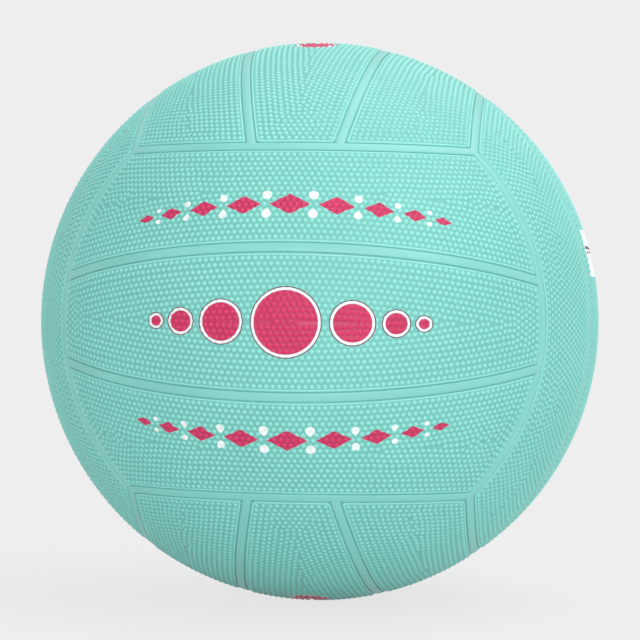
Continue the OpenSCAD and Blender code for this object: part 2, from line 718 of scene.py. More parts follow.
@dataclass(frozen=True)
class Arc:
    """A stretch of a circle on the ball.

    Attributes:
        axis: Axis of the circle.
        angle: Angle of the circle from its axis.
        first: Direction across the axis in which the arc starts.
        span: Angle that the arc turns, anticlockwise about the axis.
        radius: The ball's radius.
    """

    axis: np.ndarray
    angle: float
    first: np.ndarray
    span: float
    radius: float

    @classmethod
    def between(
        cls, axis: np.ndarray, angle: float, start: np.ndarray, end: np.ndarray, radius: float
    ) -> "Arc":
        """Joins two points of a circle.

        Args:
            axis: Axis of the circle.
            angle: Angle of the circle from its axis.
            start: Direction of the arc's first end.
            end: Direction of its last end, anticlockwise about the axis.
            radius: The ball's radius.

        Returns:
            The arc.
        """
        first = unit(start - (start @ axis) * axis)
        span = math.atan2(end @ np.cross(axis, first), end @ first) % math.tau
        return cls(axis, angle, first, span, radius)

    @property
    def length(self) -> float:
        """Length along the ball."""
        return self.span * math.sin(self.angle) * self.radius

    def points(self, shares: np.ndarray, aside: np.ndarray | float = 0.0) -> np.ndarray:
        """Gives points along the arc.

        Args:
            shares: Shares of the arc's length.
            aside: Distance of each point from the circle, away from its axis.

        Returns:
            Directions from the ball's centre.
        """
        turn = (shares * self.span)[..., None]
        polar = self.angle + np.asarray(aside)[..., None] / self.radius
        flat = np.cos(turn) * self.first + np.sin(turn) * np.cross(self.axis, self.first)
        return self.axis * np.cos(polar) + flat * np.sin(polar)


class StripOutline:
    """The four circles on the ball that bound one strip of the front face."""

    # Steps of each rounded corner, and the fewest points on a side
    CORNER_STEPS = 6
    FEWEST = 4

    def __init__(self, sizes: BallSizes, middle: bool) -> None:
        """Lists the sides, anticlockwise from the lower one.

        Args:
            sizes: The ball's sizes.
            middle: True for the middle strip, False for the upper one.
        """
        self.radius = sizes.ball_radius
        lean = sizes.strip_angle
        end = ((0.0, -1.0, 0.0), FACE_ANGLE)
        if middle:
            low = ((0.0, -math.sin(lean), math.cos(lean)), math.pi / 2)
            high = ((0.0, -math.sin(lean), -math.cos(lean)), math.pi / 2)
        else:
            low = ((0.0, math.sin(lean), math.cos(lean)), math.pi / 2)
            high = ((0.0, 0.0, -1.0), math.pi - FACE_ANGLE)
        sides = (low, end, high, end)
        self.axes = np.array([axis for axis, _ in sides])
        self.angles = np.array([angle for _, angle in sides])

    def reach(self, points: np.ndarray) -> np.ndarray:
        """Distance along the ball from each point to each side, positive inside the strip."""
        return self.radius * (self.angles - np.arccos(np.clip(points @ self.axes.T, -1, 1)))

    def corner(self, side: int, margin: float) -> np.ndarray:
        """Finds where a side meets the next one.

        Args:
            side: Number of the side.
            margin: Distance that both sides are kept back.

        Returns:
            The corner, as a direction from the ball's centre.
        """
        following = (side + 1) % 4
        a, b = self.axes[side], self.axes[following]
        c, d = np.cos(self.angles[[side, following]] - margin / self.radius)
        k = a @ b
        flat = ((c - k * d) * a + (d - k * c) * b) / (1 - k * k)
        across = unit(np.cross(a, b)) * math.sqrt(1 - flat @ flat)
        return max((flat + across, flat - across), key=lambda p: p[0] if side < 2 else -p[0])

    def arc(self, side: int, margin: float) -> Arc:
        """Gives a side's arc between its two corners.

        Args:
            side: Number of the side.
            margin: Distance that the side and its neighbours are kept back.

        Returns:
            The arc.
        """
        angle = self.angles[side] - margin / self.radius
        start, end = self.corner((side - 1) % 4, margin), self.corner(side, margin)
        return Arc.between(self.axes[side], angle, start, end, self.radius)

    def ring(self, margin: float, step: float, cut: float) -> np.ndarray:
        """Walks round the strip with its corners rounded.

        Args:
            margin: Distance from the seams' middle lines.
            step: Spacing of the points.
            cut: Length of side that each rounded corner takes.

        Returns:
            Directions round the strip. Rings of other margins match them one by one.
        """
        arcs = [self.arc(side, margin) for side in range(4)]
        shares = np.linspace(0, 1, self.CORNER_STEPS + 1)[1:-1, None]
        points = []
        for side, line in enumerate(arcs):
            count = max(self.FEWEST, math.ceil(self.arc(side, 0.0).length / step))
            keep = cut / line.length
            points.append(line.points(np.linspace(keep, 1 - keep, count)))
            after = arcs[(side + 1) % 4]
            start, end = points[-1][-1], after.points(np.array([cut / after.length]))[0]
            tip = self.corner(side, margin)
            points.append(unit((1 - shares) ** 2 * start + 2 * shares * (1 - shares) * tip + shares**2 * end))
        return np.concatenate(points)


class PebbleBed:
    """Pebbles chosen so far, none of which lies too near another."""

    # Share of the way to a clear place that a pebble moves at a time
    PUSH = 0.3

    def __init__(self, nearest: float) -> None:
        """Starts an empty bed.

        Args:
            nearest: Angle that the pebbles keep from one another.
        """
        self.nearest = nearest
        self.places: list[np.ndarray] = []
        self.stays: list[bool] = []

    def add(self, candidates: Sequence[np.ndarray], stays: bool) -> None:
        """Adds the places that are clear.

        Args:
            candidates: Directions of the new pebbles.
            stays: Whether they keep their place when the bed settles.
        """
        for place in candidates:
            if self.places and np.min(np.linalg.norm(np.array(self.places) - place, axis=1)) < self.nearest:
                continue
            self.places.append(place)
            self.stays.append(stays)

    def fill(self, spots: np.ndarray, widest: float) -> None:
        """Adds pebbles in the gaps, the widest gap first.

        Args:
            spots: Close samples of the bed.
            widest: Angle from the nearest pebble above which a spot gets one.
        """
        tree = nearest_tree(np.array(self.places))
        away = np.array([tree.find(spot)[2] for spot in spots])
        while away.max() > widest:
            place = spots[away.argmax()]
            self.add([place], False)
            away = np.minimum(away, np.linalg.norm(spots - place, axis=1))

    def settle(self, rest: float, steps: int) -> np.ndarray:
        """Lets the free pebbles push one another into the gaps where rows meet.

        Args:
            rest: Angle that pebbles keep from one another.
            steps: Number of small moves.

        Returns:
            Directions of all the pebbles.
        """
        points = np.array(self.places)
        tree = nearest_tree(points)
        near = ((i, tree.find_range(place, 2 * rest)) for i, place in enumerate(points))
        left, right = np.array([(i, j) for i, found in near for _, j, _ in found if i < j]).T
        for _ in range(steps):
            gap = points[left] - points[right]
            length = np.linalg.norm(gap, axis=1, keepdims=True)
            push = gap / length * np.clip(rest - length, 0, None) * self.PUSH
            move = np.zeros_like(points)
            np.add.at(move, left, push)
            np.add.at(move, right, -push)
            move[np.array(self.stays)] = 0
            points = unit(points + move)
        return points


@dataclass
class PebbleLayout:
    """Places of a panel's pebbles: rows that run beside its edges and meet inside.

    Attributes:
        along: Spacing of the pebbles in a row.
        across: Spacing of the rows, which is fitted to the width of each strip.
        first_row: Distance from a seam's middle line to the first row.
        base_radius: Radius of a pebble's foot.
        closeness: Share of the rows' spacing below which a pebble is left out.
        hole_share: Share of that spacing that rows keep from the ring round the valve.
        rest: Distance that the inner pebbles keep from one another when they settle.
        steps: Number of times they settle.
        still_rows: Number of rows beside each edge that don't settle.
        widest_gap: Distance from the nearest pebble above which a gap gets another.
        sample: Spacing of the samples of a row.
        slack: Distance by which a sample may pass the next side's row.
        spot_step: Number of samples from one spot that is tried for a gap to the next.
    """

    along: float = 2.36 * MM
    across: float = 2.13 * MM
    first_row: float = 3.95 * MM
    base_radius: float = 1.02 * MM
    closeness: float = 0.74
    hole_share: float = 0.9
    rest: float = 2.43 * MM
    steps: int = 40
    still_rows: int = 2
    widest_gap: float = 1.8 * MM
    sample: float = 0.05 * MM
    slack: float = 0.02 * MM
    spot_step: int = 10

    def run(self, line: np.ndarray, allowed: np.ndarray, spacing: float, odd: int) -> list[np.ndarray]:
        """Fills the allowed stretches of a row evenly.

        Args:
            line: Close samples of the row.
            allowed: Whether each sample may hold a pebble.
            spacing: Distance between samples.
            odd: One for an odd number of steps, so that rows lie half a step apart, or zero.

        Returns:
            Places of the pebbles.
        """
        edges = np.flatnonzero(np.diff(np.concatenate([[False], allowed, [False]]).astype(int)))
        places = []
        for first, last in zip(edges[::2], edges[1::2] - 1):
            steps = 2 * round(((last - first) * spacing / self.along - odd) / 2) + odd
            if steps == 0:
                places.append(line[(first + last) // 2])
                continue
            places.extend(line[np.rint(np.linspace(first, last, steps + 1)).astype(int)])
        return places

    def ring_round(self, axis: np.ndarray, distance: float, radius: float) -> np.ndarray:
        """Spaces pebbles evenly on a circle.

        Args:
            axis: Axis of the circle.
            distance: Distance of the circle from its axis, along the ball.
            radius: The ball's radius.

        Returns:
            Directions of the pebbles.
        """
        angle = distance / radius
        first = unit(np.cross(axis, (1.0, 0.0, 0.0)))
        count = round(math.tau * math.sin(angle) * radius / self.along)
        return Arc(axis, angle, first, math.tau, radius).points(np.arange(count) / count)

    def places(
        self, outline: StripOutline, middle: np.ndarray, hole: tuple[np.ndarray, float] | None
    ) -> np.ndarray:
        """Lays out the pebbles of one strip.

        Args:
            outline: The strip's sides.
            middle: Direction of the strip's middle.
            hole: Axis and radius of a smooth ring that is kept clear, if the strip has one.

        Returns:
            Directions of the pebbles from the ball's centre.
        """
        radius = outline.radius
        depth = float(outline.reach(middle).min()) - self.first_row
        across = depth / round(depth / self.across)
        bed = PebbleBed(self.closeness * across / radius)
        if hole is not None:
            for row in range(self.still_rows):
                bed.add(self.ring_round(hole[0], hole[1] + self.base_radius + row * across, radius), True)
        row = 0
        rows = []
        found = True
        while found:
            found = False
            margin = self.first_row + row * across
            for side in range(4):
                whole = outline.arc(side, 0.0)
                samples = whole.points(np.linspace(0, 1, int(whole.length / self.sample)), -margin)
                reach = outline.reach(samples)
                reach[:, side] = np.inf
                allowed = reach.min(axis=1) >= margin - self.slack
                if hole is not None:
                    away = np.arccos(np.clip(samples @ hole[0], -1, 1)) * radius
                    allowed &= away > hole[1] + self.base_radius + across * self.hole_share
                if allowed.any():
                    found = True
                    spacing = float(np.linalg.norm(samples[1] - samples[0])) * radius
                    bed.add(self.run(samples, allowed, spacing, row % 2), row < self.still_rows)
                    rows.append(samples[allowed][:: self.spot_step])
            row += 1
        # Spots lie on the rows and half way between them
        spots = np.concatenate(rows)
        inward = unit(spots + np.cross(np.cross(spots, middle), spots) * across / radius / 2)
        bed.fill(np.concatenate([spots, inward]), self.widest_gap / radius)
        return bed.settle(self.rest / radius, self.steps)


class PrintPlate:
    """Flat artwork of plain shapes, in metres along and across the front face.

    The rows below are in millimetres, from the middle out, and again on the other side.
    """

    # Place along the strip and radius of each bead
    BEADS = ((0, 13), (24, 8.5), (40, 5.5), (50.5, 3.5))
    BEAD_ROWS = {Print.LONG_BEADS: BEADS, Print.SHORT_BEADS: BEADS[:2], Print.SPLIT_BEADS: BEADS[1:]}
    # Place, width and height of each lozenge, and the row's angle from the face's middle line
    LOZENGES = ((0, 15, 8), (17, 13, 7.2), (32.5, 11, 6.2), (46, 9, 5), (57, 7, 3.8))
    LOZENGE_LIFT = math.radians(22.5)
    # The small dots' distance from that row, their radius, and what both lose from one pair to the next
    LOZENGE_DOTS = ((4.1, 0.4), (2.0, 0.25))
    # Corners of the label, and place, spacing and radius of its dots, with their number on each side
    LABEL = ((-38, -19), (-19, -19), (-19, 19), (-38, 19))
    LABEL_DOTS = (-30, 5, 1.6, 3)
    # How far a bead's white line and its middle lie inside its edge, and the length of a side's steps
    LINE_INSET = 0.4 * MM
    MAIN_INSET = 1.4 * MM
    STEP = 0.4 * MM
    FEWEST_SIDES = 16

    def __init__(self, design: Print, sizes: BallSizes) -> None:
        """Draws a design.

        Args:
            design: Which design to draw.
            sizes: The ball's sizes.
        """
        self.radius = sizes.ball_radius
        self.shapes: list[tuple[Ink, np.ndarray]] = []
        for place, size in self.BEAD_ROWS.get(design, ()):
            for sign in self.sides(place):
                self.bead(sign * place * MM, size * MM)
        if design is Print.LOZENGES:
            self.lozenges()
        if design is Print.LABEL:
            self.label()

    @staticmethod
    def sides(place: float) -> tuple[int, ...]:
        """Signs of a place and its mirror image, or one sign in the middle."""
        return (1, -1) if place else (1,)

    def circle(self, ink: Ink, x: float, y: float, size: float) -> None:
        """Adds a filled circle.

        Args:
            ink: What it is printed in.
            x: Place of its middle along the face.
            y: Place of its middle across the face.
            size: Its radius.
        """
        angles = turns(max(self.FEWEST_SIDES, math.ceil(math.tau * size / self.STEP)))
        self.shapes.append((ink, np.stack([x + size * np.cos(angles), y + size * np.sin(angles)], axis=1)))

    def bead(self, x: float, size: float) -> None:
        """Adds a circle on the middle line, with a white line and a dark edge round it.

        Args:
            x: Its place along the face.
            size: Its radius.
        """
        self.circle(Ink.EDGE, x, 0.0, size)
        self.circle(Ink.LINE, x, 0.0, size - self.LINE_INSET)
        self.circle(Ink.MAIN, x, 0.0, size - self.MAIN_INSET)

    def polygon(self, ink: Ink, corners: Sequence[Point]) -> None:
        """Adds a filled polygon whose sides are cut into short steps.

        Args:
            ink: What it is printed in.
            corners: Its corners in order.
        """
        points = []
        for start, end in zip(corners, [*corners[1:], corners[0]]):
            count = max(1, math.ceil(math.dist(start, end) / self.STEP))
            shares = np.arange(count)[:, None] / count
            points.append(np.array(start) * (1 - shares) + np.array(end) * shares)
        self.shapes.append((ink, np.concatenate(points)))

    def lozenges(self) -> None:
        """Adds a row of lozenges that shrink from the middle, with small dots between them."""
        y = self.LOZENGE_LIFT * self.radius
        for i, (x, width, height) in enumerate(self.LOZENGES):
            for sign in self.sides(x):
                mid, w, h = sign * x * MM, width * MM / 2, height * MM / 2
                self.polygon(Ink.MAIN, [(mid - w, y), (mid, y - h), (mid + w, y), (mid, y + h)])
                if i:
                    between = sign * (x + self.LOZENGES[i - 1][0]) / 2 * MM
                    off, size = ((first - loss * i) * MM for first, loss in self.LOZENGE_DOTS)
                    for side in (1, -1):
                        self.circle(Ink.LINE, between, y + side * off, size)

    def label(self) -> None:
        """Adds a white tab with a column of dots, as wide as the strip's middle."""
        self.polygon(Ink.LINE, [(x * MM, y * MM) for x, y in self.LABEL])
        place, spacing, size, count = self.LABEL_DOTS
        for k in range(-count, count + 1):
            self.circle(Ink.EDGE, place * MM, k * spacing * MM, size * MM)

    def on_ball(self) -> list[tuple[Ink, np.ndarray]]:
        """Lays the artwork on the ball.

        Returns:
            Inks and outlines, as directions from the ball's centre.
        """
        laid = []
        for ink, points in self.shapes:
            a, b = points.T / self.radius
            laid.append((ink, np.stack([np.sin(a), -np.cos(a) * np.cos(b), np.cos(a) * np.sin(b)], axis=1)))
        return laid


@dataclass
class PanelMould:
    """Mould of one kind of panel, which makes its mesh as it lies in the front face.

    Attributes:
        sizes: The ball's sizes.
        middle: True for a middle strip.
        has_valve: Whether the valve comes through the panel.
        design: What is printed on it.
        layout: How its pebbles lie.
        edge_radius: Rounding of the panel's upper edge.
        corner_cut: Length of side that each rounded corner takes.
        rim_end: Distance from a seam's middle line at which the smooth rim ends.
        rim_fall: Width of the slope from the rim down to the floor between the pebbles.
        ring_step: Spacing of the points along the panel's edges.
        hole_points: Number of points round the valve's opening.
        hole_slack: Distance from that opening within which a triangle is part of the hole.
        print_gap: Distance that the domes' points keep from a printed outline.
        under_step: Spacing of the points of the inner face.
        under_clear: Distance that they keep from its edges.
        chart_half: Half the width of the chart that they cover.
        dome_rings: Share of a pebble's radius, and number of points, of each ring of its dome.
    """

    sizes: BallSizes
    middle: bool
    has_valve: bool
    design: Print
    layout: PebbleLayout = field(default_factory=PebbleLayout)
    edge_radius: float = 0.3 * MM
    corner_cut: float = 1.1 * MM
    rim_end: float = 2.72 * MM
    rim_fall: float = 0.2 * MM
    ring_step: float = 0.9 * MM
    hole_points: int = 72
    hole_slack: float = 0.05 * MM
    print_gap: float = 0.2 * MM
    under_step: float = 6 * MM
    under_clear: float = 2 * MM
    chart_half: float = 0.9
    dome_rings: tuple[tuple[float, int], ...] = ((0.42, 6), (0.78, 8), (1.0, 10))

    def __post_init__(self) -> None:
        """Sets out the strip's outline, its chart and the valve's axis."""
        self.outline = StripOutline(self.sizes, self.middle)
        lift = 0.0 if self.middle else (self.sizes.strip_angle + math.pi / 2 - FACE_ANGLE) / 2
        self.centre = np.array([0.0, -math.cos(lift), math.sin(lift)])
        self.right = np.array([1.0, 0.0, 0.0])
        self.up = np.cross(self.centre, self.right)
        self.valve_axis = np.array([0.0, -1.0, 0.0])

    def chart(self, points: np.ndarray) -> np.ndarray:
        """Flattens directions stereographically about the strip's middle."""
        share = 2 / (1 + points @ self.centre)
        return np.stack([points @ self.right * share, points @ self.up * share], axis=1)

    def unchart(self, flat: np.ndarray) -> np.ndarray:
        """Turns points of the chart back into directions.

        Args:
            flat: The points, one per row.

        Returns:
            Directions from the ball's centre.
        """
        square = (flat**2).sum(axis=1, keepdims=True)
        level = flat[:, :1] * self.right + flat[:, 1:] * self.up
        return ((4 - square) * self.centre + 4 * level) / (4 + square)

    def ring(self, margin: float) -> np.ndarray:
        """Directions round the strip at a distance from its seams' middle lines."""
        return self.outline.ring(margin, self.ring_step, self.corner_cut)

    def hole_ring(self, radius: float, level: float) -> np.ndarray:
        """Gives points round the valve's opening, anticlockwise from outside.

        Args:
            radius: Their distance from the valve's axis.
            level: Their distance from the ball's centre.

        Returns:
            The points.
        """
        angles = turns(self.hole_points)
        side = np.cross(self.valve_axis, self.right)
        ring = np.multiply.outer(np.cos(angles), self.right) + np.multiply.outer(np.sin(angles), side)
        return ring * radius + self.valve_axis * math.sqrt(level**2 - radius**2)

    def domes(self, pebbles: np.ndarray) -> np.ndarray:
        """Gives the points of every pebble's dome.

        Args:
            pebbles: Directions of the pebbles.

        Returns:
            Directions of the tops and of the rings round them.
        """
        side = unit(np.cross(pebbles, self.up))
        other = np.cross(pebbles, side)
        points = [pebbles]
        for number, (share, count) in enumerate(self.dome_rings):
            size = share * self.layout.base_radius / self.sizes.ball_radius
            for k in range(count):
                turn = (k + number / 2) * math.tau / count
                points.append(unit(pebbles + size * (math.cos(turn) * side + math.sin(turn) * other)))
        return np.concatenate(points)

    def triangulate(
        self, rings: Sequence[np.ndarray], inside: np.ndarray, prints: Sequence[np.ndarray] = ()
    ) -> tuple[np.ndarray, list[tuple[int, ...]], list[int], list[int]]:
        """Joins points on the ball into triangles that keep the given outlines.

        Args:
            rings: The strip's edge, then any other loops, the valve's opening second if there is one.
            inside: Other points.
            prints: Outlines of the printed shapes, in the order of printing.

        Returns:
            Directions of the points, triangles, the number of the last shape that covers each
            triangle or -1, and the new index of each point of the rings.
        """
        groups = [*rings, *prints]
        starts = np.cumsum([0] + [len(g) for g in groups])
        flat = self.chart(unit(np.concatenate([*groups, inside])))
        loops = [list(range(starts[k], starts[k + 1])) for k in range(len(groups))]
        kept_edges = [(a, b) for loop in loops[1 : len(rings)] for a, b in zip(loop, loop[1:] + loop[:1])]
        faces = [loops[0], *loops[len(rings) :]]
        spots, _, triangles, origins, _, covers = geometry.delaunay_2d_cdt(
            [Vector(p) for p in flat], kept_edges, faces, 0, CHART_TOUCH, True
        )
        points = self.unchart(np.array([tuple(p) for p in spots]))
        index = {old: new for new, olds in enumerate(origins) for old in olds}
        clear = np.ones(len(triangles), bool)
        if self.has_valve:
            middles = unit(points[np.array(triangles)].mean(axis=1))
            clear = self.from_valve(middles) > self.from_valve(rings[1][:1]) + self.hole_slack
        kept = [k for k, cover in enumerate(covers) if 0 in cover and clear[k]]
        shapes = [max(covers[k]) - 1 for k in kept]
        ring_points = [index[i] for i in range(starts[len(rings)])]
        return points, [tuple(triangles[k]) for k in kept], shapes, ring_points

    def from_valve(self, points: np.ndarray) -> np.ndarray:
        """Gives each point's distance along the ball to the valve's opening.

        Args:
            points: Directions from the ball's centre.

        Returns:
            The distances, or a long one for each point of a panel with no valve.
        """
        if not self.has_valve:
            return np.ones(len(points))
        away = np.arccos(np.clip(points @ self.valve_axis, -1, 1)) * self.sizes.rim_radius
        return away - self.sizes.opening_radius

    def field_share(self, points: np.ndarray) -> np.ndarray:
        """Gives each point's share of the way down from the smooth rim to the floor between the pebbles.

        Args:
            points: Directions from the ball's centre.

        Returns:
            The shares.
        """
        from_seam = self.outline.reach(points).min(axis=1) - self.rim_end
        from_ring = self.from_valve(points) - self.sizes.valve_rim_width
        return np.clip(np.minimum(from_seam, from_ring + self.rim_fall) / self.rim_fall, 0, 1)

    def walls(self) -> list[list[np.ndarray]]:
        """Gives the rings that form the panel's walls.

        Returns:
            Rings of points from the inner face up over the rounded edge, for the outer wall and
            then for the wall of the valve's opening, if there is one.
        """
        sizes, edge = self.sizes, self.edge_radius
        part = edge * (1 - math.sqrt(0.5))
        levels = (
            (0.0, sizes.panel_inner_radius),
            (0.0, sizes.rim_radius - edge),
            (part, sizes.rim_radius - part),
            (edge, sizes.rim_radius),
        )
        walls = [[self.ring(sizes.panel_margin + back) * level for back, level in levels]]
        if self.has_valve:
            walls.append([self.hole_ring(sizes.opening_radius + back, level) for back, level in levels])
        return walls

    def top_points(self, pebbles: np.ndarray, shapes: Sequence[np.ndarray]) -> np.ndarray:
        """Lists the points of the domes that keep clear of the printed outlines.

        Args:
            pebbles: Directions of the pebbles.
            shapes: Outlines of the printed shapes.

        Returns:
            Directions of the points.
        """
        domes = self.domes(pebbles)
        if not shapes:
            return domes
        near = nearest_tree(np.concatenate(shapes))
        limit = self.print_gap / self.sizes.ball_radius
        return np.array([p for p in domes if near.find(p)[2] > limit])

    def under_points(self) -> np.ndarray:
        """Gives a coarse grid of directions for the panel's inner face.

        Returns:
            The directions that keep clear of its edges.
        """
        grid = np.arange(-self.chart_half, self.chart_half, self.under_step / self.sizes.ball_radius)
        points = self.unchart(np.stack(np.meshgrid(grid, grid), axis=-1).reshape(-1, 2))
        clear = self.outline.reach(points).min(axis=1) > self.sizes.panel_margin + self.under_clear
        return points[clear & (self.from_valve(points) > self.under_clear)]

    def mesh(self) -> Mesh:
        """Builds the panel's mesh.

        Returns:
            A closed mesh with each point's share of its pebble's radius, its share of the way down
            to the floor between pebbles, and each face's ink.
        """
        sizes = self.sizes
        hole = (self.valve_axis, sizes.valve_field_radius) if self.has_valve else None
        pebbles = self.layout.places(self.outline, self.centre, hole)
        shapes = PrintPlate(self.design, sizes).on_ball()
        outlines = [points for _, points in shapes]
        walls = self.walls()
        loops = [unit(wall[-1]) for wall in walls]
        for fall in (0.0, self.rim_fall):
            loops.append(self.ring(self.rim_end + fall))
            if self.has_valve:
                loops.append(unit(self.hole_ring(sizes.valve_field_radius - fall, sizes.rim_radius)))
        top, faces, covers, top_ring = self.triangulate(loops, self.top_points(pebbles, outlines), outlines)
        under, under_faces, _, under_ring = self.triangulate([unit(w[0]) for w in walls], self.under_points())

        places = [top * sizes.rim_radius, under * sizes.panel_inner_radius]
        count = len(top) + len(under)
        inks = [shapes[cover][0].value if cover >= 0 else 0 for cover in covers]
        faces += [tuple(len(top) + i for i in reversed(face)) for face in under_faces]
        offset = 0
        for number, wall in enumerate(walls):
            length = len(wall[0])
            chain = [[len(top) + i for i in under_ring[offset : offset + length]]]
            for ring in wall[1:-1]:
                chain.append(list(range(count, count + length)))
                places.append(ring)
                count += length
            chain.append(top_ring[offset : offset + length])
            for low, high in zip(chain, chain[1:]):
                quads = zip(low, low[1:] + low[:1], high[1:] + high[:1], high)
                faces += [quad[::-1] if number else quad for quad in quads]
            offset += length
        inks += [0] * (len(faces) - len(inks))

        near = nearest_tree(pebbles)
        away = np.array([near.find(point)[2] for point in top]) * sizes.ball_radius
        shares, field_share = np.ones(count), np.zeros(count)
        shares[: len(top)] = np.clip(away / self.layout.base_radius, 0, 1)
        field_share[: len(top)] = self.field_share(top)
        mesh = bpy.data.meshes.new(f"{'middle' if self.middle else 'outer'}_{self.design.value}")
        mesh.from_pydata(np.concatenate(places), [], faces)
        # The last attribute marks where the materials paint shade at the feet of the pebbles
        shown = {PEBBLE_SHARE: shares, FIELD_SHARE: field_share, VALLEY_SHADE: shares * field_share}
        for name, values in shown.items():
            mesh.attributes.new(name, "FLOAT", "POINT").data.foreach_set("value", values)
        mesh.attributes.new(INK, "INT", "FACE").data.foreach_set("value", inks)
        log.info("%s: %d pebbles, %d faces", mesh.name, len(pebbles), len(faces))
        return mesh


@dataclass
class Cover:
    """The eighteen panels of the cover.

    Attributes:
        sizes: The ball's sizes.
        field_sink: Depth of the floor between the pebbles below a panel's smooth rim.
        dome_power: Power that eases a pebble's dome out at its foot.
    """

    sizes: BallSizes
    field_sink: float = 0.15 * MM
    dome_power: float = 1.25

    def panel_recipe(self) -> NodeRecipe:
        """Builds the tree that raises a panel's pebbles, inks it and turns it to its face.

        Returns:
            The recipe, with the pebbles' height, the field's depth, the turn and the finishes as inputs.
        """
        sizes = {"Pebble Height": "Float", "Field Sink": "Float"}
        turning = {"Turn Axis": "Vector", "Turn Angle": "Float", "Mirrored": "Bool"}
        recipe = NodeRecipe("mould_panel", {**sizes, **turning, **{ink.label: "Material" for ink in Ink}})
        add, given = recipe.add, recipe.given
        share = add("GeometryNodeInputNamedAttribute", [PEBBLE_SHARE], data_type="FLOAT")
        field_share = add("GeometryNodeInputNamedAttribute", [FIELD_SHARE], data_type="FLOAT")
        # A dome falls as the square of the distance from its top
        square = add("ShaderNodeMath", [share, share], operation="MULTIPLY")
        fall = add("ShaderNodeMath", [1.0, square], operation="SUBTRACT")
        dome = add("ShaderNodeMath", [fall, self.dome_power], operation="POWER")
        sink = add("ShaderNodeMath", [field_share, given["Field Sink"]], operation="MULTIPLY")
        tall = add("ShaderNodeMath", [given["Pebble Height"], sink], operation="ADD")
        rise = add("ShaderNodeMath", [dome, tall], operation="MULTIPLY")
        lift = add("ShaderNodeMath", [rise, sink], operation="SUBTRACT")
        out = add("ShaderNodeVectorMath", [add("GeometryNodeInputPosition")], operation="NORMALIZE")
        offset = add("ShaderNodeVectorMath", {0: out, "Scale": lift}, operation="SCALE")
        raised = add("GeometryNodeSetPosition", {"Geometry": given["Geometry"], "Offset": offset})
        mirrored = add("GeometryNodeTransform", {"Geometry": raised, "Scale": (1.0, 1.0, -1.0)})
        flipped = add("GeometryNodeFlipFaces", [mirrored])
        either = {"Switch": given["Mirrored"], "False": raised, "True": flipped}
        chosen = add("GeometryNodeSwitch", either, input_type="GEOMETRY")
        turn = add("FunctionNodeAxisAngleToRotation", [given["Turn Axis"], given["Turn Angle"]])
        turned = add("GeometryNodeTransform", {"Geometry": chosen, "Rotation": turn})
        smooth = add("GeometryNodeSetShadeSmooth", [turned])
        bend = add("GeometryNodeInputMeshEdgeAngle")
        sharp = add("ShaderNodeMath", [bend, PANEL_CREASE], operation="GREATER_THAN")
        crisp = add("GeometryNodeSetShadeSmooth", [smooth, sharp, False], domain="EDGE")
        ink = add("GeometryNodeInputNamedAttribute", [INK], data_type="INT")
        finishes = {Ink.RUBBER.label: True}
        for kind in (Ink.MAIN, Ink.LINE, Ink.EDGE):
            finishes[kind.label] = add("ShaderNodeMath", [ink, float(kind.value), SAME], operation="COMPARE")
        recipe.end(crisp, finishes)
        return recipe

    @staticmethod
    def design(face: Face, strip: Strip) -> Print:
        """Chooses what is printed on a panel.

        Args:
            face: The panel's face.
            strip: Its place in the face.

        Returns:
            The design.
        """
        if strip is not Strip.MIDDLE:
            return Print.LOZENGES if face in (Face.FRONT, Face.BACK) else Print.PLAIN
        return {
            Face.BACK: Print.SPLIT_BEADS,
            Face.TOP: Print.SHORT_BEADS,
            Face.BOTTOM: Print.SHORT_BEADS,
            Face.RIGHT: Print.LABEL,
        }.get(face, Print.LONG_BEADS)

    def build(self) -> list[Object]:
        """Moulds every panel and puts it on the ball.

        Returns:
            The eighteen panels.
        """
        values = {"Pebble Height": self.sizes.pebble_height, "Field Sink": self.field_sink}
        for ink, finish in zip(Ink, (PANEL_RUBBER, MAIN_INK, LINE_INK, EDGE_INK)):
            values[ink.label] = finish.material()
        recipe = self.panel_recipe()
        moulds: dict[tuple[bool, Print], Mesh] = {}
        made = []
        for face in Face:
            axis, angle = face.turn.to_axis_angle()
            for strip in Strip:
                design = self.design(face, strip)
                key = (strip is Strip.MIDDLE, design)
                if key not in moulds:
                    moulds[key] = PanelMould(self.sizes, key[0], design is Print.SPLIT_BEADS, design).mesh()
                name = f"{face.name.lower()}_{face.strips[strip.value]}"
                turning = {"Turn Axis": tuple(axis), "Turn Angle": angle, "Mirrored": strip is Strip.MIRRORED}
                panel = recipe.make(f"{name}_cover", moulds[key], {**values, **turning})
                made.append(settle_piece(panel, f"{name}_panel", "panel_rubber"))
        return made


